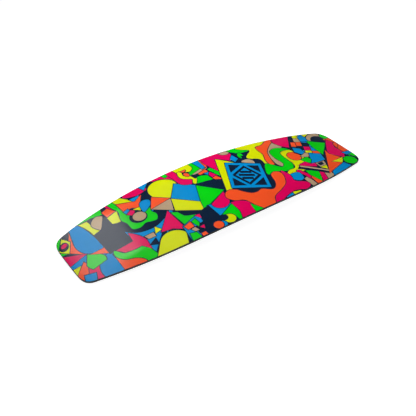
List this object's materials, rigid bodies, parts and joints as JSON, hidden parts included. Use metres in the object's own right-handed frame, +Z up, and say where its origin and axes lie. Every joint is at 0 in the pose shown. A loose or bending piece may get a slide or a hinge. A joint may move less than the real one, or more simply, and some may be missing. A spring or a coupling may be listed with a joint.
{
  "type": "wakeboard",
  "caption": "Twin-tip wakeboard without bindings or fins: a bonded sandwich with a wooden core, glass-fibre skins, moulded edges and threaded inserts, shown base up.",
  "frame": {"origin": "on the floor under the middle of the board, which lies base side up on its two tips", "axes": "+X along the board to the nose, +Y across it to the heel side, +Z up, out of the base"},
  "size_m": [1.38, 0.435, 0.0698],
  "materials": {
    "printed_base": "glossy printed sheet, many colours",
    "deck_sheet": "satin printed sheet",
    "glass_fibre": "resin-filled glass cloth",
    "core_wood": "sanded light wood",
    "dense_hardwood": "machined hardwood",
    "cast_urethane": "sanded black plastic",
    "plated_steel": "plated"
  },
  "bodies": {
    "root": {"base_laminate": "glass_fibre", "base_sheet": "printed_base", "core_plank_heel_1": "core_wood", "core_plank_heel_2": "core_wood", "core_plank_heel_3": "core_wood", "core_plank_heel_4": "core_wood", "core_plank_toe_1": "core_wood", "core_plank_toe_2": "core_wood", "core_plank_toe_3": "core_wood", "core_plank_toe_4": "core_wood", "deck_laminate": "glass_fibre", "insert_block_nose_heel": "dense_hardwood", "insert_block_nose_toe": "dense_hardwood", "insert_block_tail_heel": "dense_hardwood", "insert_block_tail_toe": "dense_hardwood", "insert_nose_heel_1": "plated_steel", "insert_nose_heel_2": "plated_steel", "insert_nose_heel_3": "plated_steel", "insert_nose_heel_4": "plated_steel", "insert_nose_heel_5": "plated_steel", "insert_nose_toe_1": "plated_steel", "insert_nose_toe_2": "plated_steel", "insert_nose_toe_3": "plated_steel", "insert_nose_toe_4": "plated_steel", "insert_nose_toe_5": "plated_steel", "insert_tail_heel_1": "plated_steel", "insert_tail_heel_2": "plated_steel", "insert_tail_heel_3": "plated_steel", "insert_tail_heel_4": "plated_steel", "insert_tail_heel_5": "plated_steel", "insert_tail_toe_1": "plated_steel", "insert_tail_toe_2": "plated_steel", "insert_tail_toe_3": "plated_steel", "insert_tail_toe_4": "plated_steel", "insert_tail_toe_5": "plated_steel", "sidewall_heel": "cast_urethane", "sidewall_toe": "cast_urethane", "tip_spacer_nose": "cast_urethane", "tip_spacer_tail": "cast_urethane", "top_sheet": "deck_sheet"}
  },
  "joints": []
}
